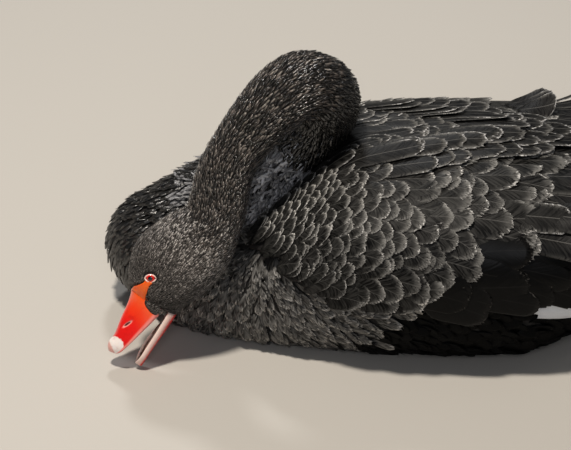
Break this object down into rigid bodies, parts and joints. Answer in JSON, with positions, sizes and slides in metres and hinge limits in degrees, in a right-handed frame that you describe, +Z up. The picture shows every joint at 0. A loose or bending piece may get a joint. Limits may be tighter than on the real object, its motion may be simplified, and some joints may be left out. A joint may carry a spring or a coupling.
{
  "type": "black swan model",
  "caption": "Life-size resting black swan with its neck folded back over its shoulders and its open red bill at the ground, white flight feathers under black coverts.",
  "frame": {"origin": "the middle of the flat on which the belly rests, on the ground", "axes": "-X the way the breast faces, -Y the bird's left, +Z up"},
  "size_m": [0.6913, 0.3394, 0.3228],
  "materials": {
    "black_feathers": "brown-black feathers with a soft sheen and paler fringes",
    "white_flight_feathers": "white vanes, satin",
    "red_bill": "waxy crimson horn with a white band and a pale nail",
    "pink_lower_bill": "pale pink horn, waxy",
    "tongue": "moist",
    "red_eye": "wet red iris with a dark pupil",
    "dark_leg_skin": "scaly dark grey skin"
  },
  "bodies": {
    "root": {"torso": "black_feathers", "neck_base": "black_feathers", "neck_lower": "black_feathers", "neck_loop": "black_feathers", "neck_upper": "black_feathers", "head": "black_feathers", "wing_left": "black_feathers", "wing_right": "black_feathers", "tail": "black_feathers", "flight_feathers_left": "white_flight_feathers", "flight_feathers_right": "white_flight_feathers", "bill_upper": "red_bill", "bill_lower": "pink_lower_bill", "tongue": "tongue", "eye_left": "red_eye", "eye_right": "red_eye", "leg_left": "dark_leg_skin", "leg_right": "dark_leg_skin", "foot_left": "dark_leg_skin", "foot_right": "dark_leg_skin"}
  },
  "joints": []
}
